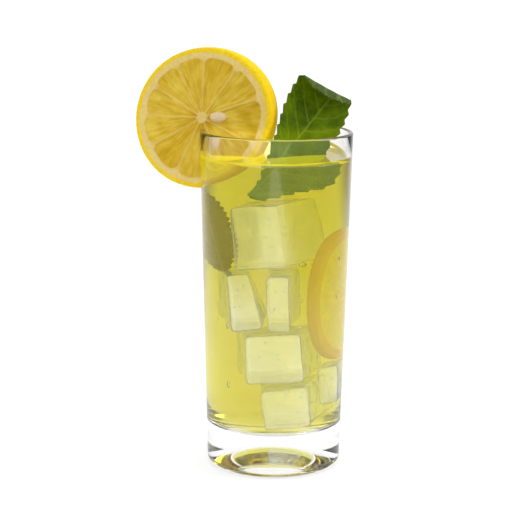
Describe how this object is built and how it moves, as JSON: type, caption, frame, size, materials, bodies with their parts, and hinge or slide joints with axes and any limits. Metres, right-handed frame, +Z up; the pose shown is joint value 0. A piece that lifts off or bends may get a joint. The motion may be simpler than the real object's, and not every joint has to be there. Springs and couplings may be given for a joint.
{
  "type": "glass of lemonade",
  "caption": "Tall tapered drinking glass filled with lemonade, with a lemon wheel slotted over its rim and a mint leaf standing in the drink.",
  "frame": {"origin": "on the standing surface, under the middle of the whole part's bounding box", "axes": "+Z up, -Y toward the front of the glass, the lemon wheel on the -X side"},
  "size_m": [0.097, 0.068, 0.1866],
  "materials": {
    "glass": "polished clear",
    "lemonade": "clear pale yellow liquid",
    "lemon": "moist cut fruit with a waxy rind",
    "mint": "satin leaf"
  },
  "bodies": {
    "root": {"glass": "glass", "lemonade": "lemonade", "lemon_wheel": "lemon", "mint_leaf": "mint"}
  },
  "joints": []
}
